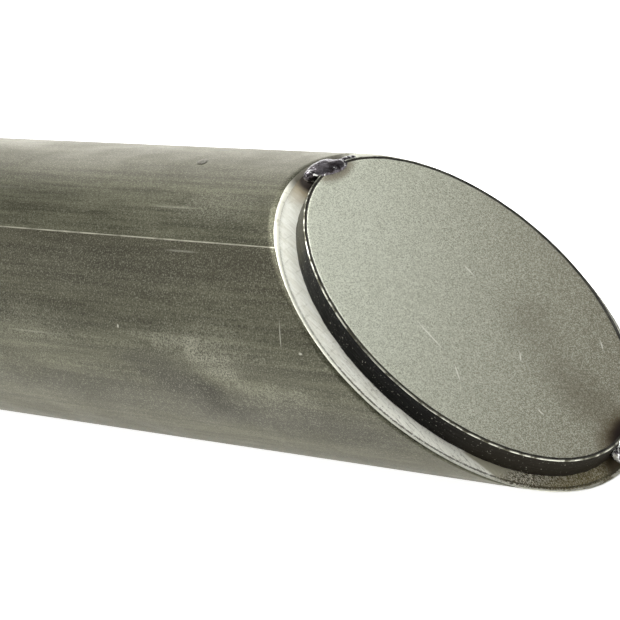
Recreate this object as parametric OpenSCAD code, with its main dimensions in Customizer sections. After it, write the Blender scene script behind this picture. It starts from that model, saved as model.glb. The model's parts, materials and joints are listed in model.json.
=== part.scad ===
// A capped tube end: steel tube cut at a slant, closed by a flat plate that
// stands proud of the cut face and is held by two tack welds.
// +X runs along the tube from the open, square-cut end (the origin is its
// centre) to the cap. +Z is the tube's short side, the heel of the cut, and
// -Z its long side, the toe. All sizes are in millimetres.

/* [Tube] */
// Outside diameter of the tube
tube_od = 38.1; // [30:0.1:60]
// Wall thickness of the tube
tube_wall = 3.05; // [2.9:0.05:6]
// Length on the tube's axis, from the square end to the slanted cut
axis_length = 100; // [60:1:300]
// Angle between the slanted cut and a square cut
mitre = 45; // [30:1:50]

/* [Cap plate] */
// Thickness of the plate
plate_t = 3.175; // [2:0.025:5]
// Width of the bare cut face left round the plate
plate_inset = 2.54; // [1.5:0.01:2.6]
// How far the plate was set off centre, towards the toe
plate_toe_shift = 0.16; // [0:0.01:0.3]
// How far the plate was set off centre, towards -Y
plate_side_shift = 0.32; // [0:0.01:0.35]

/* [Tack welds] */
// Half the heel weld's width, over the plate's edge
heel_weld_r = 2.3; // [2:0.1:2.6]
// Length of the heel weld, across the cut
heel_weld_length = 7.6; // [5:0.1:12]
// Where the middle of the heel weld is, along Y
heel_weld_y = -1.7; // [-4:0.1:4]
// Half the toe weld's width, over the plate's edge
toe_weld_r = 2.9; // [2.4:0.1:3]
// Length of the toe weld, across the cut
toe_weld_length = 8.4; // [6:0.1:12]
// Where the middle of the toe weld is, along Y
toe_weld_y = 2.3; // [-4:0.1:4]

/* [Hidden] */
tube_r = tube_od / 2;
bore_r = tube_r - tube_wall;
cut_half_long = tube_r / cos(mitre);
toe_length = axis_length + tube_r * tan(mitre);
// The stretch that is a full circle all round, in whole millimetres
straight_length = floor(axis_length - tube_r * tan(mitre));
// The tube's walls thin by this much along the slanted stretch
end_taper = 0.01;
// Points round the plate's outline
outline_points = 144;
// Height of a weld's middle over the cut face
weld_rise = 0.6 * plate_t;
// How far the toe weld's middle is in from the plate's edge
toe_weld_in = 0.4;
beyond = 5;

$fn = 96;

// Children stand on the cut face: x runs to the toe, y is Y, z leaves the tube
module on_cut() {
    translate([axis_length, 0, 0])
        rotate([0, 90 - mitre, 0])
            children();
}

// The cut face's ellipse, moved in by the same width all the way round
function inset_ellipse(a, b, inset) =
    [for (i = [0 : outline_points - 1])
        let (t = 360 * i / outline_points, out = [b * cos(t), a * sin(t)])
            [a * cos(t), b * sin(t)] - inset * out / norm(out)];

// A round bar along X. Its true cylinder ends where the slanted stretch starts,
// and a hair's taper runs on from there, so that what fits the tube is measured
// on the stretch that is round all the way
module bar(r, from, to, end_r) {
    rotate([0, 90, 0]) {
        translate([0, 0, from])
            cylinder(h = straight_length - from, r = r);
        translate([0, 0, straight_length])
            cylinder(h = to - straight_length, r1 = r, r2 = end_r);
    }
}

module past_cut() {
    size = 3 * tube_od;
    on_cut()
        translate([-size / 2, -size / 2, 0])
            cube(size);
}

module under_cut() {
    size = 3 * tube_od;
    on_cut()
        translate([-size / 2, -size / 2, -size])
            cube(size);
}

module plate_body() {
    on_cut()
        translate([plate_toe_shift, -plate_side_shift, 0])
            linear_extrude(height = plate_t)
                polygon(inset_ellipse(cut_half_long, tube_r, plate_inset));
}

// A round-ended bead in the corner between the cut face and the plate
module bead(along_cut, y, length, r) {
    reach = length / 2 - r;
    difference() {
        on_cut()
            hull()
                for (end = [-reach, reach])
                    translate([along_cut, y + end, weld_rise])
                        sphere(r = r, $fn = 28);
        plate_body();
        under_cut();
    }
}

module tube() {
    color([0.43, 0.42, 0.36])
        difference() {
            bar(tube_r, 0, toe_length + beyond, tube_r - end_taper);
            bar(bore_r, -beyond, toe_length + 2 * beyond, bore_r + end_taper);
            past_cut();
        }
}

module cap_plate() {
    color([0.66, 0.67, 0.6])
        plate_body();
}

module heel_tack_weld() {
    color([0.3, 0.27, 0.29])
        bead(plate_toe_shift + plate_inset - cut_half_long,
            heel_weld_y, heel_weld_length, heel_weld_r);
}

module toe_tack_weld() {
    color([0.3, 0.27, 0.24])
        bead(cut_half_long - plate_inset - toe_weld_in,
            toe_weld_y, toe_weld_length, toe_weld_r);
}

tube();
cap_plate();
heel_tack_weld();
toe_tack_weld();
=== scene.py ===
# %% [markdown]
# # A capped, mitred tube end
# The object is a short steel tube, cut at 45 degrees at one end. A flat oval
# plate lies on the slanted cut and stands proud of it, and two tack welds hold
# it, one at the short side (the heel) and one at the long side (the toe).
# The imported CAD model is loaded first, and the tube's sizes are read from it.

# %% Load the frame
import json
import math

import bpy
from mathutils import Matrix, Vector, noise


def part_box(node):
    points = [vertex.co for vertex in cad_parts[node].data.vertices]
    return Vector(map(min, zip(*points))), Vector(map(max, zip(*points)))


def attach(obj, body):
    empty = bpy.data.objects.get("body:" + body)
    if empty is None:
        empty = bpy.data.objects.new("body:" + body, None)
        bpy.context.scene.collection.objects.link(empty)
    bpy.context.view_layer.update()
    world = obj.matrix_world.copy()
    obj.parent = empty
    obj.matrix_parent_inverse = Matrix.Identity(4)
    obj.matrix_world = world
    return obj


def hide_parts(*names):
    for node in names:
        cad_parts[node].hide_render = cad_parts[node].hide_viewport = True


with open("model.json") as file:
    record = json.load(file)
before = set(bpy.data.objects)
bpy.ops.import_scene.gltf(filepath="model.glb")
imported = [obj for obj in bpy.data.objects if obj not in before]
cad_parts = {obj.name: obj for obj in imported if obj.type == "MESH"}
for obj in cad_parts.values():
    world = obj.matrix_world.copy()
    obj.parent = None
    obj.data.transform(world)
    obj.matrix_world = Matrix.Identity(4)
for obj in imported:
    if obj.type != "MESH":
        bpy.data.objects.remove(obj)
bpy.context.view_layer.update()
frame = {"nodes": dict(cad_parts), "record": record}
MM = 0.001
print("nodes:", sorted(frame["nodes"]))

# %% [markdown]
# The tube's two radii are the radii of its two round mounts. The middle of the
# slanted cut is one radius back from the tip of the toe, because the cut is at
# 45 degrees. The plate's thickness, its bare rim and its small shift off centre
# are not in the frame, so the part's own numbers are written here once more.

# %% Main sizes
mounts = {m["name"]: m for m in frame["record"]["mounts"]}
tube_r = mounts["tube_outside"]["dims"]["r_mm"] * MM
bore_r = mounts["tube_bore"]["dims"]["r_mm"] * MM
axis_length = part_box("tube")[1][0] - tube_r
plate_t = 3.175 * MM
bare_rim = 2.54 * MM
plate_shift = (0.16 * MM, -0.32 * MM)
SLANT = math.sqrt(0.5)
print(f"tube {2000 * tube_r:.2f} mm across, {1000 * axis_length:.2f} mm on its axis")

# %% [markdown]
# Everything at the cap is easiest to place on the cut itself. A point there has
# three coordinates: along the cut towards the toe, across it towards +Y, and
# out of it, away from the tube. One function turns them into the tube's frame.


# %% Places on the cut
def on_cut(along, across, out):
    x = axis_length + SLANT * (along + out)
    return Vector((x, across, SLANT * (out - along)))


print("plate's middle:", [round(c, 4) for c in on_cut(*plate_shift, plate_t)])

# %% [markdown]
# The tube and the plate are each a stack of closed rings of points joined by
# quads. That gives full control over the small edge breaks, the ground rim and
# the edge of the plate, which is where a plain cylinder would look false. One
# helper makes both, and each strip of quads can have its own material.


# %% Helper: a skin over rings of points
def ring_skin(rings, strips, closed=False):
    """strips[i] is the material index of the quads between ring i and the next.
    Only the tube is closed, and its angles run the other way round its rings'
    path, so there the quads are turned to face out."""
    count = len(rings[0])
    points = [tuple(p) for ring in rings for p in ring]
    pairs = [(i, (i + 1) % len(rings)) for i in range(len(rings) - (not closed))]
    faces, index = [], []
    for (low, high), strip in zip(pairs, strips):
        for j in range(count):
            k = (j + 1) % count
            a, b = low * count, high * count
            quad = (a + j, a + k, b + k, b + j)
            faces.append(quad[::-1] if closed else quad)
            index.append(strip)
    return points, faces, index


def make_piece(name, points, faces, index, materials):
    mesh = bpy.data.meshes.new(name)
    mesh.from_pydata(points, [], faces)
    for material in materials:
        mesh.materials.append(material)
    mesh.polygons.foreach_set("material_index", index)
    mesh.polygons.foreach_set("use_smooth", [True] * len(faces))
    mesh.update()
    piece = bpy.data.objects.new(name, mesh)
    bpy.context.scene.collection.objects.link(piece)
    print(f"{name}: {len(points)} points, {len(faces)} faces")
    return piece


# %% [markdown]
# Materials are built from nodes. These few helpers keep the node code short:
# one adds a node and sets or links its inputs, the others are the patterns that
# steel needs, which are noise, a two-ended blend, and a soft spot at a place.
# Coordinates are the object's own, in millimetres, so sizes read as real ones.


# %% Helper: nodes
def new_material(name):
    material = bpy.data.materials.new(name)
    material.use_nodes = True
    print("material:", name)
    tree = material.node_tree
    shader = tree.nodes["Principled BSDF"]
    return material, tree, shader


def add(tree, kind, settings=None, **inputs):
    node = tree.nodes.new(kind)
    for key, value in (settings or {}).items():
        setattr(node, key, value)
    for key, value in inputs.items():
        socket = node.inputs[int(key[1:]) if key[1:].isdigit() else key.replace("_", " ")]
        if isinstance(value, bpy.types.NodeSocket):
            tree.links.new(value, socket)
        else:
            socket.default_value = value
    return node


def rgba(red, green, blue):
    """A colour given as it looks on screen, 0 to 255, as the shader's linear one."""
    def linear(c):
        c /= 255
        return c / 12.92 if c <= 0.04045 else ((c + 0.055) / 1.055) ** 2.4
    return (linear(red), linear(green), linear(blue), 1)


# %% Helper: coordinates in millimetres
def tube_mm(tree):
    at = add(tree, "ShaderNodeTexCoord").outputs["Object"]
    return add(tree, "ShaderNodeMapping", Vector=at, Scale=(1000, 1000, 1000)).outputs[0]


def cut_mm(tree):
    """x runs along the cut to the toe, y across it, z out of it."""
    at = add(tree, "ShaderNodeTexCoord").outputs["Object"]
    shift = -1000 * SLANT * axis_length
    return add(tree, "ShaderNodeMapping", Vector=at, Scale=(1000, 1000, 1000),
               Rotation=(0, -math.pi / 4, 0), Location=(shift, 0, shift)).outputs[0]


def stretched(tree, at, scale, turn=0.0):
    return add(tree, "ShaderNodeMapping", Vector=at, Scale=scale, Rotation=(0, 0, turn)).outputs[0]


# %% Helper: patterns
def grain(tree, at, scale, detail=3.0, rough=0.55, bend=0.0):
    node = add(tree, "ShaderNodeTexNoise", Vector=at, Scale=scale, Detail=detail,
               Roughness=rough, Distortion=bend)
    return node.outputs["Fac"]


def span(tree, value, low, high, to_low=0.0, to_high=1.0):
    """Turns low..high into to_low..to_high, with soft ends."""
    return add(tree, "ShaderNodeMapRange", {"interpolation_type": "SMOOTHSTEP"}, i0=value,
               i1=low, i2=high, i3=to_low, i4=to_high).outputs[0]


def slope(tree, at, direction):
    """How far each place is along a direction, in millimetres."""
    dot = add(tree, "ShaderNodeVectorMath", {"operation": "DOT_PRODUCT"}, i0=at, i1=direction)
    return dot.outputs["Value"]


def sums(tree, how, a, b):
    return add(tree, "ShaderNodeMath", {"operation": how}, i0=a, i1=b).outputs[0]


def times(tree, a, b):
    return sums(tree, "MULTIPLY", a, b)


def blend(tree, amount, first, second):
    node = add(tree, "ShaderNodeMix", {"data_type": "RGBA"}, i0=amount)
    for socket, value in ((node.inputs[6], first), (node.inputs[7], second)):
        if isinstance(value, bpy.types.NodeSocket):
            tree.links.new(value, socket)
        else:
            socket.default_value = value
    return node.outputs[2]


def spot(tree, at, centre, size, soft=0.5, ragged=0.0, turn=0.0, scale=0.6):
    """1 inside an oval at centre, 0 outside, with a soft or ragged edge."""
    off = add(tree, "ShaderNodeVectorMath", {"operation": "SUBTRACT"}, i0=at, i1=centre).outputs[0]
    if turn:
        off = stretched(tree, off, (1, 1, 1), turn)
    off = add(tree, "ShaderNodeVectorMath", {"operation": "DIVIDE"}, i0=off, i1=size).outputs[0]
    away = add(tree, "ShaderNodeVectorMath", {"operation": "LENGTH"}, i0=off).outputs["Value"]
    if ragged:
        wobble = times(tree, grain(tree, at, scale, 4), 2 * ragged)
        away = sums(tree, "ADD", away, sums(tree, "SUBTRACT", wobble, ragged))
    return span(tree, away, 1 - soft, 1 + soft, 1.0, 0.0)


def bumps(tree, shader, *layers):
    """Each layer is a height and its depth in millimetres."""
    normal = None
    for height, depth in layers:
        node = add(tree, "ShaderNodeBump", Height=height, Strength=1.0, Distance=depth * MM)
        if normal:
            tree.links.new(normal, node.inputs["Normal"])
        normal = node.outputs["Normal"]
    tree.links.new(normal, shader.inputs["Normal"])


# %% [markdown]
# The tube is cold drawn and oiled, never painted. Up close such a skin is a
# dull olive grey with fine dark pores, long faint streaks along the draw, and
# large soft patches where oil has dried. All of it is noise, stretched along X
# for the streaks. One thin bright line with a darker band below it is the mark
# of a die, and runs the tube's whole length.
#
# Each mark in a list is its middle and its half sizes in millimetres, and how
# strongly it shows. A mark is an oval, so a long thin one is a smear or scratch.
# The dark marks low on the -Y side, below the tube's middle, are painted shade
# that darkens the underside where the glowing table lights it.

# %% Marks on the tube's side
DIE_LINE = math.radians(43)
DRIED_OIL = [((72, -9, 16.8), (6, 2.2, 2.2), 0.25), ((75, -18.9, 2), (7, 3, 3.4), 0.2),
             ((72.1, -18.8, 2.8), (4, 2, 0.8), 0.3), ((74.1, -19.0, 1.2), (3.4, 2, 0.8), 0.45),
             ((75.9, -19.0, -0.5), (3.4, 2, 0.8), 0.4), ((68.1, -18.8, 3.3), (6, 2, 0.8), 0.3),
             ((84, -18.4, -4.5), (8, 3, 2.6), 0.3), ((38, -18.8, 2.5), (8, 3, 3), 0.15),
             ((30, 12, 15), (9, 4, 4), 0.3), ((62, 18, -5), (12, 4, 5), 0.25)]
# Dark smears, and painted shade: the marks low on the -Y side, with Z under -1.5, darken the tube's
# underside.
SMEARS_AND_PAINTED_SHADE = [((62.2, -19.0, 0.2), (6, 2.4, 1.3), 0.6), ((66.1, -19.0, -1.8), (6, 2.4, 1.4), 0.7),
               ((69.8, -18.7, -3.6), (6, 2.4, 1.5), 0.9), ((73.2, -18.1, -6.1), (6, 2.4, 1.6), 0.8),
               ((66, -18.2, -5.8), (44, 3, 3.0), 0.55), ((92, -17.3, -8), (14, 3, 2.6), 0.6),
               ((50, -0.5, 18.9), (70, 4.5, 3), 0.5), ((77, -18, -7), (5, 3, 1.5), 0.4),
               ((50, -15.5, 11), (16, 3, 4), 0.3), ((45, 16, 9), (14, 4, 4), 0.3)]
FINE_MARKS = [((18, -7.9, 17.35), (14, 0.2, 0.3), 0.15), ((69, -14, 13), (3, 0.14, 0.14), 0.25),
              ((64, -9.3, 16.6), (4, 0.14, 0.2), 0.2), ((88.7, -18.3, 5.2), (0.1, 2, 1.4), 0.55),
              ((58, -18.6, 4.1), (0.16, 0.5, 0.2), 0.8), ((92, -18.8, 3.2), (0.3, 0.5, 0.15), 0.8),
              ((40, -18.9, 2.1), (5, 0.3, 0.12), 0.15)]
SCAB = ((60.9, -0.7, 19.05), (0.95, 0.6, 1))


def marked(tree, at, colour, marks, paint, cover=None, **shape):
    """Lays paint over colour at every mark in a list. Cover thins all the marks."""
    for centre, size, depth in marks:
        mark = spot(tree, at, centre, size, **shape)
        if cover is not None:
            mark = times(tree, mark, cover)
        colour = blend(tree, times(tree, mark, depth), colour, paint)
    return colour


# %% The mark of the die
def die_band(tree, at):
    """A soft band that ends at the die line, on the side away from the heel."""
    side = slope(tree, at, (0, math.cos(DIE_LINE), math.sin(DIE_LINE)))
    return times(tree, span(tree, side, -15, -1), span(tree, side, -0.1, 0.15, 0.5, 0.0))


def die_scratch(tree, at):
    radius = tube_r / MM
    middle = (60, -radius * math.sin(DIE_LINE), radius * math.cos(DIE_LINE))
    line = spot(tree, at, middle, (400, 0.08, 0.08), soft=0.45, ragged=0.9, scale=0.12)
    broken = grain(tree, stretched(tree, at, (0.35, 1, 1)), 1.0, 4, 0.7)
    return times(tree, line, span(tree, broken, 0.3, 0.6, 0.3, 0.8))


# %% Material: drawn steel
def drawn_steel():
    material, tree, shader = new_material("drawn_steel")
    at = tube_mm(tree)
    streak = grain(tree, stretched(tree, at, (0.05, 1.3, 1.3)), 1.0, 5, 0.62)
    wide = grain(tree, stretched(tree, at, (0.03, 0.2, 0.2)), 1.0, 4, 0.55, 0.4)
    patch = grain(tree, stretched(tree, at, (0.07, 0.13, 0.13)), 1.0, 5, 0.65, 0.6)
    speck = grain(tree, stretched(tree, at, (0.8, 1, 1)), 5.2, 3, 0.75)
    colour = blend(tree, span(tree, streak, 0.3, 0.7), rgba(50, 49, 36), rgba(84, 84, 68))
    colour = blend(tree, span(tree, wide, 0.45, 0.65, 0.0, 0.45), colour, rgba(44, 43, 32))
    colour = blend(tree, span(tree, patch, 0.5, 0.72, 0.0, 0.45), colour, rgba(82, 81, 67))
    colour = blend(tree, die_band(tree, at), colour, rgba(50, 46, 35))
    colour = marked(tree, at, colour, DRIED_OIL, rgba(150, 149, 133),
                    span(tree, speck, 0.42, 0.6, 0.2, 1.0), soft=0.7, ragged=0.9, scale=0.35)
    # Dark smears, and painted shade on the tube's underside.
    colour = marked(tree, at, colour, SMEARS_AND_PAINTED_SHADE, rgba(28, 26, 19), soft=0.6, ragged=0.5, scale=0.3)
    colour = blend(tree, span(tree, speck, 0.48, 0.36, 0.0, 0.75), colour, rgba(28, 27, 18))
    colour = blend(tree, span(tree, speck, 0.52, 0.66, 0.0, 0.6), colour, rgba(120, 121, 106))
    colour = blend(tree, die_scratch(tree, at), colour, rgba(162, 160, 144))
    colour = marked(tree, at, colour, FINE_MARKS, rgba(165, 164, 150), soft=0.5, ragged=0.3, scale=0.5)
    scab = spot(tree, at, *SCAB, soft=0.3, ragged=0.5, turn=0.5, scale=1.5)
    colour = blend(tree, times(tree, scab, 0.8), colour, rgba(12, 10, 6))
    tree.links.new(colour, shader.inputs["Base Color"])
    tree.links.new(span(tree, patch, 0.3, 0.7, 0.36, 0.47), shader.inputs["Roughness"])
    shader.inputs["Metallic"].default_value = 0.6
    shader.inputs["Specular IOR Level"].default_value = 0.35
    shader.inputs["Specular Tint"].default_value = (1, 0.97, 0.85, 1)
    bumps(tree, shader, (speck, 0.02), (streak, 0.01), (scab, 0.3))
    return material


# %% [markdown]
# The rim left bare round the plate was ground after the cut. Ground steel is
# nearly white in soft light, with fine lines where the disc moved and small pits,
# and near the toe the disc left it rough. A painted picture of such a surface
# goes soft up close, so stretched noise is used, laid out on the cut's own
# coordinates. Straw and brown heat colours ring the two welds. Their places are
# kept as a middle and half sizes on the cut, and a half size of 20 out of the
# cut only means that the mark goes right through.

# %% Heat marks on the rim
HEEL_STRAW = ((-24.5, 0.2, 0), (4.2, 5.8, 20))
HEEL_BURNT = ((-25, -0.2, 0), (2.4, 3.6, 20))
HEEL_EDGE = ((-26.5, 0.4, 0), (2.2, 5.0, 20))
TOE_SCORCH = ((26, 4.4, 0), (4.0, 5.0, 20))


# %% What the disc left on the rim, and painted light towards the toe
def disc_lines_and_painted_light(tree, at, along, lines, cross, hatch):
    colour = blend(tree, span(tree, lines, 0.3, 0.7), rgba(214, 214, 200), rgba(234, 235, 225))
    colour = blend(tree, span(tree, cross, 0.58, 0.72, 0.0, 0.4), colour, rgba(168, 167, 150))
    # Painted light: the rim is painted paler towards the toe, where the lamps leave it dim.
    colour = blend(tree, span(tree, along, -6, 12, 0.0, 0.8), colour, rgba(253, 253, 240))
    pits = grain(tree, stretched(tree, at, (1.2, 2.4, 2), 0.5), 2.0, 4, 0.75)
    pitted = times(tree, span(tree, pits, 0.56, 0.66, 0.0, 0.6), span(tree, along, -14, 4))
    colour = blend(tree, pitted, colour, rgba(120, 116, 98))
    hatched = times(tree, span(tree, hatch, 0.52, 0.66, 0.0, 0.5), span(tree, along, -10, 6, 0.3, 1.0))
    return blend(tree, hatched, colour, rgba(132, 128, 110))


def worn_toe(tree, at, along, rough, hatch, colour):
    """Near the toe the rim is grey and worn, on a small flat and then all across."""
    flat = slope(tree, at, (-0.233, 0.972, 0))
    grey = times(tree, span(tree, along, 13.6, 14.6), span(tree, flat, -17.05, -16.75))
    grey = sums(tree, "MAXIMUM", grey, span(tree, along, 17.8, 19.6))
    worn = blend(tree, span(tree, rough, 0.44, 0.64), rgba(70, 62, 42), rgba(250, 246, 226))
    smooth = blend(tree, hatch, rgba(150, 147, 126), rgba(204, 200, 178))
    worn = blend(tree, span(tree, along, 17.8, 20.5), smooth, worn)
    colour = blend(tree, grey, colour, worn)
    olive = span(tree, sums(tree, "ADD", along, times(tree, rough, 4)), 22.5, 27)
    colour = blend(tree, times(tree, olive, 0.5), colour, rgba(140, 128, 82))
    scorch = spot(tree, at, *TOE_SCORCH, soft=0.3, ragged=0.15)
    return blend(tree, scorch, colour, rgba(58, 48, 30)), grey


def rim_lines(tree, along, rough, cross, colour):
    """By its radius: a painted highlight at the rim's outer edge near the toe, and a dark groove
    inside it.
    """
    square = stretched(tree, tube_mm(tree), (0, 1, 1))
    radius = add(tree, "ShaderNodeVectorMath", {"operation": "LENGTH"}, i0=square).outputs["Value"]
    radius = sums(tree, "ADD", radius, times(tree, rough, 0.3))
    # Painted highlight along the rim's outer edge, near the toe.
    painted_shine = times(tree, span(tree, radius, 18.9, 18.95), span(tree, along, 15, 19))
    painted_shine = times(tree, painted_shine, span(tree, cross, 0.42, 0.55, 0.1, 0.9))
    colour = blend(tree, painted_shine, colour, rgba(238, 236, 220))
    groove = times(tree, span(tree, radius, 18.6, 18.66), span(tree, radius, 18.8, 18.86, 1.0, 0.0))
    groove = times(tree, groove, span(tree, cross, 0.35, 0.5, 0.4, 1.0))
    groove = times(tree, groove, span(tree, along, -12, 2, 0.4, 0.85))
    return blend(tree, groove, colour, rgba(66, 62, 46))


# %% Material: ground steel
def ground_steel():
    material, tree, shader = new_material("ground_steel")
    at = cut_mm(tree)
    along = slope(tree, at, (1, 0, 0))
    lines = grain(tree, stretched(tree, at, (0.35, 3.2, 3.2), 0.35), 1.0, 4, 0.65)
    cross = grain(tree, stretched(tree, at, (2.6, 0.5, 2), 0.6), 1.0, 3, 0.6)
    rough = grain(tree, stretched(tree, at, (0.6, 1.2, 1), 0.5), 6.0, 4, 0.8)
    hatch = grain(tree, stretched(tree, at, (0.4, 4.5, 2)), 1.0, 4, 0.7)
    colour = disc_lines_and_painted_light(tree, at, along, lines, cross, hatch)
    colour, grey = worn_toe(tree, at, along, rough, hatch, colour)
    colour = rim_lines(tree, along, rough, cross, colour)
    straw = spot(tree, at, *HEEL_STRAW, soft=0.3, ragged=0.12)
    colour = blend(tree, times(tree, straw, 0.8), colour, rgba(142, 126, 92))
    burnt = spot(tree, at, *HEEL_BURNT, soft=0.2, ragged=0.1)
    colour = blend(tree, burnt, colour, rgba(40, 32, 28))
    tree.links.new(colour, shader.inputs["Base Color"])
    tree.links.new(span(tree, grey, 0, 1, 0.42, 0.55), shader.inputs["Roughness"])
    shader.inputs["Metallic"].default_value = 0.3
    shader.inputs["Specular Tint"].default_value = (1, 0.97, 0.86, 1)
    bumps(tree, shader, (lines, 0.02), (rough, 0.02))
    return material


# %% [markdown]
# The disc also broke the sharp outer corner. It catches the light as a thin line
# with small nicks, so it gets a smoother and more metallic finish of its own.

# %% Material: deburred edge
def deburred_edge():
    material, tree, shader = new_material("deburred_edge")
    at = cut_mm(tree)
    nicks = grain(tree, at, 0.5, 3, 0.6)
    colour = blend(tree, span(tree, nicks, 0.3, 0.45), rgba(186, 184, 162), rgba(236, 236, 220))
    heat = spot(tree, at, *HEEL_EDGE, soft=0.3, ragged=0.1)
    colour = blend(tree, times(tree, heat, 0.9), colour, rgba(64, 58, 44))
    tree.links.new(colour, shader.inputs["Base Color"])
    shader.inputs["Metallic"].default_value = 0.5
    shader.inputs["Roughness"].default_value = 0.4
    bumps(tree, shader, (nicks, 0.01))
    return material


# %% [markdown]
# The plate is pickled sheet: matt and finely grained. Fine noise makes dark and
# light grains. One broad blend is painted light: pale by the heel, where the
# lamps are near, and darker and a little browner towards the toe. Soft ragged
# spots make the stains and heat marks. The few scratches are the same spots
# squeezed to a line, and one of them is a painted highlight.

# %% Marks on the plate's face
STAINS = [((6, 4.7, 3), (3.5, 3, 9), 0.25), ((14.2, 2.2, 3), (3.6, 2.8, 9), 0.3),
          ((19, 2.8, 3), (2.8, 3, 9), 0.4)]
TOE_HALO = ((25.2, 4.0, 3), (3.8, 5.4, 9))
TOE_BURNT = ((25.2, 4.0, 3), (2.9, 4.3, 9))
HEEL_HALO = ((-24, -0.6, 3), (1.9, 3.2, 9))
# Each scratch is its place along and across the cut, its half length and its turn.
SCRATCHES_AND_GLINT = [(0.8, -8.0, 2.2, 0.03), (6.6, -9.0, 1.1, 0.5), (9.1, -0.4, 0.7, 0.7),
             # The mark at 13.4 along and 10.0 across is a painted highlight, not a scratch.
             (16.1, -4.1, 0.45, 0.0), (13.4, 10.0, 0.6, 0.6), (-3.5, 3.35, 0.9, 0.0)]
SCRATCH_HALF_WIDTH = 0.08


# %% Material: plate face
def plate_face():
    material, tree, shader = new_material("plate_face")
    at = cut_mm(tree)
    speck = grain(tree, at, 7.5, 3, 0.75)
    cloud = grain(tree, at, 0.09, 4, 0.6)
    # Painted light: paler by the heel, darker and a little browner towards the toe.
    tone_and_painted_light = span(tree, slope(tree, at, (1, 1.03, 0)), -38, 36)
    colour = blend(tree, tone_and_painted_light, rgba(222, 226, 208), rgba(144, 139, 119))
    colour = blend(tree, span(tree, cloud, 0.35, 0.65, 0.0, 0.16), colour, rgba(140, 140, 122))
    colour = blend(tree, span(tree, speck, 0.5, 0.38, 0.0, 0.55), colour, rgba(92, 92, 72))
    colour = blend(tree, span(tree, speck, 0.5, 0.62, 0.0, 0.5), colour, rgba(244, 247, 232))
    colour = marked(tree, at, colour, STAINS, rgba(104, 96, 76), soft=0.9, ragged=0.4, turn=0.3)
    halo = spot(tree, at, *TOE_HALO, soft=0.4, ragged=0.1)
    colour = blend(tree, halo, colour, rgba(92, 80, 56))
    burnt = spot(tree, at, *TOE_BURNT, soft=0.25, ragged=0.1)
    colour = blend(tree, burnt, colour, rgba(38, 28, 24))
    heel = spot(tree, at, *HEEL_HALO, soft=0.25, ragged=0.1)
    colour = blend(tree, times(tree, heel, 0.7), colour, rgba(120, 108, 88))
    # Light scratches, and one painted highlight.
    for along, across, length, turn in SCRATCHES_AND_GLINT:
        mark = spot(tree, at, (along, across, 3), (length, SCRATCH_HALF_WIDTH, 9), turn=turn)
        colour = blend(tree, times(tree, mark, 0.85), colour, rgba(238, 238, 226))
    tree.links.new(colour, shader.inputs["Base Color"])
    tree.links.new(span(tree, cloud, 0.3, 0.7, 0.44, 0.52), shader.inputs["Roughness"])
    shader.inputs["Metallic"].default_value = 0.6
    bumps(tree, shader, (speck, 0.02))
    return material


# %% [markdown]
# The plate's side is where the sheet was cut. It is almost black with scale, and
# layered along its length, so this noise is squeezed across the thickness.

# %% Material: sheared side of the plate
def plate_side():
    material, tree, shader = new_material("plate_side")
    at = cut_mm(tree)
    layers = grain(tree, stretched(tree, at, (0.25, 0.25, 3.2)), 1.0, 4, 0.6)
    dots = grain(tree, at, 4.2, 2, 0.6)
    colour = blend(tree, span(tree, layers, 0.35, 0.65), rgba(4, 4, 4), rgba(15, 15, 13))
    toe = span(tree, slope(tree, at, (1, 0, 0)), 6, 20, 0.0, 0.6)
    colour = blend(tree, toe, colour, rgba(44, 40, 32))
    heel = spot(tree, at, (-24, -8, 0), (9, 8, 20), soft=0.25, ragged=0.1)
    colour = blend(tree, times(tree, heel, 0.6), colour, rgba(62, 60, 46))
    nick = spot(tree, at, (-16.2, -13.3, 2.6), (1.2, 1.2, 0.9), soft=0.3, ragged=0.4)
    colour = blend(tree, times(tree, nick, 0.9), colour, rgba(8, 8, 6))
    colour = blend(tree, span(tree, dots, 0.66, 0.74, 0.0, 0.6), colour, rgba(170, 168, 154))
    tree.links.new(colour, shader.inputs["Base Color"])
    shader.inputs["Metallic"].default_value = 0.1
    shader.inputs["Specular IOR Level"].default_value = 0.06
    shader.inputs["Roughness"].default_value = 0.5
    bumps(tree, shader, (layers, 0.05), (dots, 0.02))
    return material


# %% [markdown]
# The cutting left a burr, which handling has polished, and dirt has gathered
# inside it. Both have their own narrow strips of quads, so their width is real
# and stays right from every side. Here they get a broken, worn finish, and the
# lip also gets one painted highlight on its -Y side.

# %% Material: the plate's lip and the dark line inside it
def bright_lip():
    material, tree, shader = new_material("bright_lip")
    at = cut_mm(tree)
    wear = grain(tree, at, 0.7, 4, 0.6)
    colour = blend(tree, span(tree, wear, 0.42, 0.58), rgba(84, 82, 68), rgba(206, 206, 190))
    # A painted highlight on the lip, on its -Y side towards the heel.
    painted_glint = spot(tree, at, (-16.7, -12.9, 3), (1.1, 1.1, 9), soft=0.4, ragged=0.2)
    colour = blend(tree, painted_glint, colour, rgba(250, 250, 240))
    far = spot(tree, at, (4, 17, 3), (24, 13, 9), soft=0.12)
    colour = blend(tree, far, colour, rgba(40, 39, 34))
    tree.links.new(colour, shader.inputs["Base Color"])
    shader.inputs["Metallic"].default_value = 0.85
    shader.inputs["Roughness"].default_value = 0.28
    return material


def dark_line():
    material, tree, shader = new_material("dark_line")
    at = cut_mm(tree)
    dirt = grain(tree, at, 0.9, 4, 0.6)
    colour = blend(tree, span(tree, dirt, 0.35, 0.65), rgba(30, 28, 22), rgba(62, 60, 50))
    tree.links.new(colour, shader.inputs["Base Color"])
    shader.inputs["Metallic"].default_value = 0.2
    shader.inputs["Roughness"].default_value = 0.6
    return material


# %% [markdown]
# A tack that nobody cleaned is dark, smooth and purple-grey, with a few white
# places. They stand for bare metal where the slag came off, and are painted
# highlights as well. One function makes both beads, and sparkle says how much
# of the bead is painted white.

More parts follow.
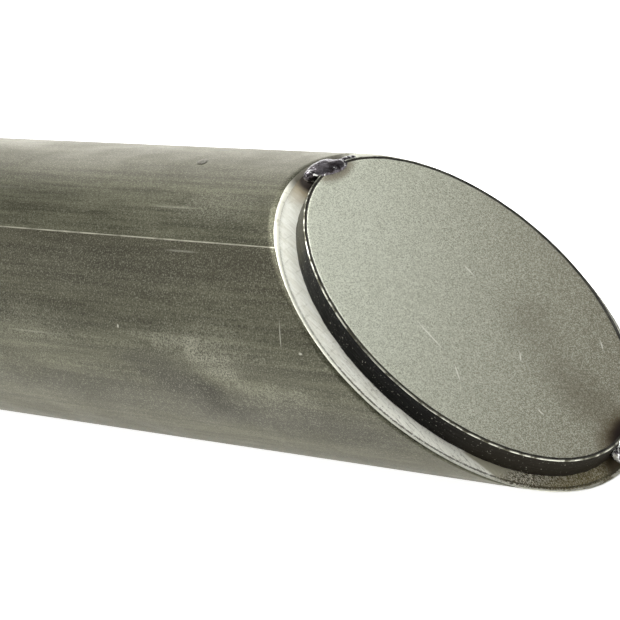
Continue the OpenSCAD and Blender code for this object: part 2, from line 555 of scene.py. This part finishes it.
# %% Material: weld metal
def weld_metal(name, sparkle):
    material, tree, shader = new_material(name)
    at = cut_mm(tree)
    scale = grain(tree, at, 1.3, 4, 0.6, 0.5)
    colour = blend(tree, span(tree, scale, 0.35, 0.65), rgba(44, 37, 38), rgba(112, 108, 112))
    slag_and_painted_highlights = grain(tree, at, 0.8, 3, 0.5)
    # White places: bare metal where the slag came off, and painted highlights.
    colour = blend(tree, span(tree, slag_and_painted_highlights, 0.62 - sparkle, 0.66 - sparkle), colour, rgba(250, 250, 246))
    tree.links.new(colour, shader.inputs["Base Color"])
    shader.inputs["Metallic"].default_value = 0.8
    shader.inputs["Roughness"].default_value = 0.24
    bumps(tree, shader, (scale, 0.06))
    return material


# %% [markdown]
# The bore is duller and darker than the outside and streaked along its length.
# The open end is sawn, with its lines all one way. Both are the usual finishes
# of such a tube, made of the same stretched noise.

# %% Material: bore and sawn end
def bore_steel():
    material, tree, shader = new_material("bore_steel")
    at = tube_mm(tree)
    streak = grain(tree, stretched(tree, at, (0.04, 0.8, 0.8)), 1.0, 4, 0.6)
    colour = blend(tree, span(tree, streak, 0.3, 0.7), rgba(72, 68, 58), rgba(112, 107, 94))
    tree.links.new(colour, shader.inputs["Base Color"])
    shader.inputs["Metallic"].default_value = 0.5
    shader.inputs["Roughness"].default_value = 0.55
    bumps(tree, shader, (streak, 0.03))
    return material


def sawn_end():
    material, tree, shader = new_material("sawn_end")
    at = tube_mm(tree)
    saw = grain(tree, stretched(tree, at, (1, 4.5, 0.3)), 1.0, 4, 0.6)
    colour = blend(tree, span(tree, saw, 0.3, 0.7), rgba(118, 116, 102), rgba(160, 158, 145))
    tree.links.new(colour, shader.inputs["Base Color"])
    shader.inputs["Metallic"].default_value = 0.8
    shader.inputs["Roughness"].default_value = 0.38
    bumps(tree, shader, (saw, 0.04))
    return material


# %% [markdown]
# The tube's outline at one angle goes from the open end along the outside to
# the cut, over the small chamfer that a grinder left, across the ground rim,
# and back down the bore. Angle 0 is the heel. The chamfer isn't even, so noise
# varies its width, and the rim has shallow waves from the grinding.

# %% Rings round the tube
ROUND = 480
angles = [2 * math.pi * i / ROUND for i in range(ROUND)]
edge_break = 0.25 * MM


def round_ring(r, x_of):
    return [(x_of(t), r * math.sin(t), r * math.cos(t)) for t in angles]


def cut_x(r, t):
    return axis_length - r * math.cos(t)


print("rings of", len(angles), "points")


# %% The chamfer and the ground rim
chamfer, chamfer_wave, chamfer_nick = 0.3, 0.16, 0.03
rim_wave = 0.05 * MM
rim_fall = 0.3 * MM
fall_share = 0.7


def chamfer_at(t):
    wave = noise.noise(Vector((3 * math.cos(t), 3 * math.sin(t), 1.7)))
    nick = noise.noise(Vector((22 * math.cos(t), 22 * math.sin(t), 5.1)))
    return (chamfer + chamfer_wave * wave + chamfer_nick * nick) * MM


def rim_point(share, t):
    """share 0 is the chamfer's inner edge and 1 the bore's edge. The rim falls
    away towards its outer edge, where the disc took off more."""
    r = tube_r - chamfer_at(t) + share * (bore_r - tube_r + chamfer_at(t))
    dip = noise.noise(Vector((share * 2.5, 5 * math.cos(t), 5 * math.sin(t)))) - 0.6
    x, y, z = cut_x(r, t), r * math.sin(t), r * math.cos(t)
    depth = rim_wave * dip * math.sin(math.pi * min(1, 4 * share) / 2)
    depth -= rim_fall * max(0, 1 - share / fall_share) ** 2
    return (x + SLANT * depth, y, z + SLANT * depth)


# %% The tube
SIDE, EDGE, RIM, SAWN, BORE = range(5)
side_steps, rim_steps, bore_steps = 64, 8, 8


def tube_rings():
    rings = [round_ring(tube_r - edge_break, lambda t: 0.0)]
    strips = [SAWN]
    for i in range(side_steps + 1):
        share = i / side_steps
        rings.append([(edge_break + share * (cut_x(tube_r, t) - chamfer_at(t) - edge_break),
                       tube_r * math.sin(t), tube_r * math.cos(t)) for t in angles])
        strips.append(SIDE)
    strips[-1] = EDGE
    for i in range(rim_steps + 1):
        rings.append([rim_point(i / rim_steps, t) for t in angles])
        strips.append(RIM)
    strips[-1] = BORE
    for i in range(1, bore_steps + 1):
        share = i / bore_steps
        rings.append(round_ring(bore_r, lambda t: (
            cut_x(bore_r, t) + share * (edge_break - cut_x(bore_r, t)))))
        strips.append(BORE)
    strips[-1] = SAWN
    rings.append(round_ring(bore_r + edge_break, lambda t: 0.0))
    strips.append(SAWN)
    return rings, strips


rings, strips = tube_rings()
tube = make_piece("mitred_tube", *ring_skin(rings, strips, closed=True),
                  [drawn_steel(), deburred_edge(), ground_steel(), sawn_end(), bore_steel()])
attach(tube, "root")
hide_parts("tube")

# %% [markdown]
# The plate was cut from sheet, and its outline is the tube's own cut outline
# moved in by the bare rim. Its side is dark and layered. Where side and face
# meet there is a raised, rubbed lip, and just inside the lip a thin dark line
# where scale and oil have stayed, so each gets its own strip of quads.


# %% The plate's outline
face_drop = 0.03 * MM


def plate_outline(inset):
    a, b = tube_r / SLANT, tube_r
    ring = []
    for t in angles:
        out = Vector((b * math.cos(t), a * math.sin(t))).normalized()
        ring.append((plate_shift[0] + a * math.cos(t) - (bare_rim + inset) * out.x,
                     plate_shift[1] + b * math.sin(t) - (bare_rim + inset) * out.y))
    return ring


def plate_ring(inset, height, rough=0.0, seed=0.0):
    ring = []
    for t, (x, y) in zip(angles, plate_outline(inset)):
        move = rough * (noise.noise(Vector((16 * math.cos(t), 16 * math.sin(t), seed))) - 0.7)
        ring.append(on_cut(x + move * math.cos(t), y + move * math.sin(t), height))
    return ring


def face_ring(inset, share):
    return [on_cut(plate_shift[0] + share * (x - plate_shift[0]),
                   plate_shift[1] + share * (y - plate_shift[1]), plate_t - face_drop)
            for x, y in plate_outline(inset)]


print("plate's outline:", len(plate_outline(0)), "points")

# %% [markdown]
# From the tube outwards the plate's rings are a narrow band under its edge, the
# sheared side, the lip's profile and the flat face. The lip is a list of small
# steps, each an inset from the edge, a drop below the plate's top and a finish.

# %% The cap plate
FACE, SHEARED, LIP, DIRT = range(4)
LIP_STEPS = [(0.03, 0.14, LIP), (0.07, 0.04, LIP), (0.13, 0.0, LIP), (0.19, 0.03, DIRT),
             (0.28, 0.12, DIRT), (0.42, 0.12, DIRT), (0.5, 0.05, FACE)]
FACE_SHARES = (1.0, 0.97, 0.93, 0.86, 0.76, 0.64, 0.5, 0.35, 0.2, 0.07)
face_inset = 0.7 * MM
under_edge = 1.5 * MM
lip_height, lip_rough = 0.3 * MM, 0.03 * MM
shear_steps, shear_inset, shear_rough = 10, 0.02 * MM, 0.05 * MM


def plate_rings():
    rings = [plate_ring(under_edge * (1 - share), 0) for share in (0.0, 0.9)]
    for i in range(shear_steps + 1):
        height = i / shear_steps * (plate_t - lip_height)
        rings.append(plate_ring(shear_inset, height, shear_rough, 7 * height / MM))
    strips = [SHEARED] * len(rings)
    for inset, drop, strip in LIP_STEPS:
        rings.append(plate_ring(inset * MM, plate_t - drop * MM, lip_rough, 3.0))
        strips.append(strip)
    rings += [face_ring(face_inset, share) for share in FACE_SHARES]
    strips += [FACE] * len(FACE_SHARES)
    return rings, strips


rings, strips = plate_rings()
points, faces, index = ring_skin(rings, strips)
last = len(points) - ROUND
faces += [tuple(range(last, last + ROUND)), tuple(reversed(range(ROUND)))]
index += [FACE, SHEARED]
plate = make_piece("oval_plate", points, faces, index,
                   [plate_face(), plate_side(), bright_lip(), dark_line()])
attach(plate, "root")
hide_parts("cap_plate")

# %% [markdown]
# A tack weld is a puddle that froze in steps. Lumps of metal placed one after
# another give its lobes, a voxel remesh melts them into one skin, and a little
# noise along the skin's normals makes the ripples. It is modelled on the cut, so
# its lumps are placed along it from the plate's edge. Each lump is its middle
# along, across and out of the cut, its three half sizes, and its turn.


# %% Helper: lumps of weld metal
def lump_skins(lumps, rows=16, columns=28):
    points, faces = [], []
    for along, across, out, long, wide, tall, turn in lumps:
        start = len(points)
        spin = Matrix.Rotation(turn, 3, "Z")
        for i in range(rows + 1):
            tilt = math.pi * i / rows
            for j in range(columns):
                t = 2 * math.pi * j / columns
                p = spin @ Vector((long * math.sin(tilt) * math.cos(t),
                                   wide * math.sin(tilt) * math.sin(t), tall * math.cos(tilt)))
                points.append(on_cut((along + p.x) * MM, (across + p.y) * MM, (out + p.z) * MM))
        for i in range(rows):
            for j in range(columns):
                k = (j + 1) % columns
                a, b = start + i * columns, start + (i + 1) * columns
                faces.append((a + j, b + j, b + k, a + k))
    return points, faces


# %% Helper: a weld bead
voxel = 0.13 * MM


def melted(lump):
    """The lumps as one smooth mesh."""
    remesh = lump.modifiers.new("melt", "REMESH")
    remesh.mode = "VOXEL"
    remesh.voxel_size = voxel
    smooth = lump.modifiers.new("smooth", "SMOOTH")
    smooth.factor = 0.5
    smooth.iterations = 6
    graph = bpy.context.evaluated_depsgraph_get()
    skin = bpy.data.meshes.new_from_object(lump.evaluated_get(graph))
    lump.modifiers.clear()
    return skin


def weld_bead(name, lumps, material, seed, ripple):
    points, faces = lump_skins(lumps)
    bodies = bpy.data.meshes.new(name + "_lumps")
    bodies.from_pydata(points, [], faces)
    lump = bpy.data.objects.new(name, bodies)
    bpy.context.scene.collection.objects.link(lump)
    skin = melted(lump)
    lump.data = skin
    normals = [v.normal.copy() for v in skin.vertices]
    for v, n in zip(skin.vertices, normals):
        p = v.co / MM + Vector((seed, 0, 0))
        v.co += n * MM * ripple * (noise.noise(1.1 * p) + 0.5 * noise.noise(3.3 * p) - 0.5)
    skin.materials.clear()
    skin.materials.append(material)
    skin.polygons.foreach_set("use_smooth", [True] * len(skin.polygons))
    skin.update()
    print(f"{name}: {len(skin.vertices)} points")
    return lump


# %% The heel tack
edge_heel = (plate_shift[0] + bare_rim - tube_r / SLANT) / MM
heel_lumps = [
    (edge_heel - 0.45, -3.8, 2.6, 0.7, 0.75, 0.85, 0.0),
    (edge_heel + 0.15, -0.9, 2.9, 1.1, 2.75, 0.72, -0.18),
    (edge_heel - 0.65, -1.3, 1.75, 1.1, 2.5, 1.7, -0.1),
    (edge_heel - 0.1, 2.2, 2.25, 0.45, 1.9, 0.55, -0.12),
]
heel_tack = weld_bead("heel_tack", heel_lumps, weld_metal("heel_weld_metal", 0.0), 3.0, 0.04)
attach(heel_tack, "root")
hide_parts("heel_tack_weld")

# %% The toe tack
edge_toe = (plate_shift[0] + tube_r / SLANT - bare_rim) / MM
toe_lumps = [
    (edge_toe + 0.4, 2.2, 1.7, 1.5, 1.8, 1.7, 0.0),
    (edge_toe + 0.1, 3.8, 2.2, 2.0, 1.7, 2.0, 0.2),
    (edge_toe - 0.1, 5.6, 1.9, 1.9, 1.7, 1.7, -0.2),
    (edge_toe + 0.4, 3.2, 1.1, 1.4, 2.2, 1.3, 0.3),
    (edge_toe + 0.1, 5.0, 1.2, 1.3, 2.0, 1.4, 0.0),
]
toe_tack = weld_bead("toe_tack", toe_lumps, weld_metal("toe_weld_metal", 0.12), 11.0, 0.1)
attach(toe_tack, "root")
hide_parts("toe_tack_weld")

# %% [markdown]
# The tube lies on a plain pale table that glows a little, like a light table,
# so that hardly any shadow is left round it. Large soft lights stand above and
# to the side, and two small ones stand nearer, above the tube. The space behind
# the camera is left dim, which gives the round metal its dark middle between two
# bright edges.

# %% Table
table_mesh = bpy.data.meshes.new("pale_table")
table_gap = 0.2 * MM
reach, below = 4.0, -tube_r - table_gap
table_mesh.from_pydata([(-reach, -reach, below), (reach, -reach, below), (reach, reach, below),
                        (-reach, reach, below)], [], [(0, 1, 2, 3)])
table = bpy.data.objects.new("pale_table", table_mesh)
bpy.context.scene.collection.objects.link(table)
material, tree, shader = new_material("pale_table_top")
shader.inputs["Base Color"].default_value = (0.9, 0.9, 0.9, 1)
shader.inputs["Roughness"].default_value = 0.9
shader.inputs["Emission Color"].default_value = (1, 1, 1, 1)
shader.inputs["Emission Strength"].default_value = 0.9
table_mesh.materials.append(material)
print("table at", round(below, 4))


# %% Lights
def soft_light(name, place, target, size, power):
    light = bpy.data.lights.new(name, "AREA")
    light.shape = "RECTANGLE"
    light.size, light.size_y = size
    light.energy = power
    lamp = bpy.data.objects.new(name, light)
    aim = Vector(target) - Vector(place)
    lamp.location = place
    lamp.rotation_euler = aim.to_track_quat("-Z", "Y").to_euler()
    lamp.visible_camera = False
    bpy.context.scene.collection.objects.link(lamp)


soft_light("overhead", (0.05, 0.1, 0.7), (0.08, 0, 0), (0.9, 0.9), 0.8)
soft_light("near_heel", (0.03, -0.03, 0.2), (0.09, 0, 0), (0.12, 0.12), 0.55)
soft_light("back_panel", (-0.45, 0.55, 0.35), (0.08, 0, 0.02), (0.8, 0.5), 3.0)
soft_light("back_low", (-0.6, 0.5, 0.08), (0.08, 0, 0.02), (0.8, 0.2), 0.9)
soft_light("left_panel", (-0.5, -0.45, 0.3), (0.08, 0, 0), (0.6, 0.5), 1.75)
soft_light("front_high", (0.12, -0.1, 0.2), (0.1, 0, 0), (0.08, 0.08), 0.047)
world = bpy.data.worlds.new("dim_room")
world.use_nodes = True
world.node_tree.nodes["Background"].inputs[0].default_value = (1, 1, 1, 1)
world.node_tree.nodes["Background"].inputs[1].default_value = 0.228
bpy.context.scene.world = world
bpy.context.scene.view_settings.view_transform = "Standard"

# %% [markdown]
# The camera is a long lens, near the cap and a little above it, rolled so that
# the tube runs down to the right. Its three axes are written as a matrix.

# %% Camera
camera_data = bpy.data.cameras.new("view")
camera_data.sensor_width = 36
camera_data.lens = 180.26
camera_data.clip_end = 20
camera = bpy.data.objects.new("view", camera_data)
right = Vector((0.6718, 0.6929, -0.2619)).normalized()
back = Vector((0.7377, -0.5939, 0.3210)).normalized()
up = back.cross(right).normalized()
right = up.cross(back)
turn = Matrix((right, up, back)).transposed().to_4x4()
camera.matrix_world = Matrix.Translation((0.36102, -0.23214, 0.12449)) @ turn
bpy.context.scene.collection.objects.link(camera)
bpy.context.scene.camera = camera

# %% Update the scene
bpy.context.view_layer.update()
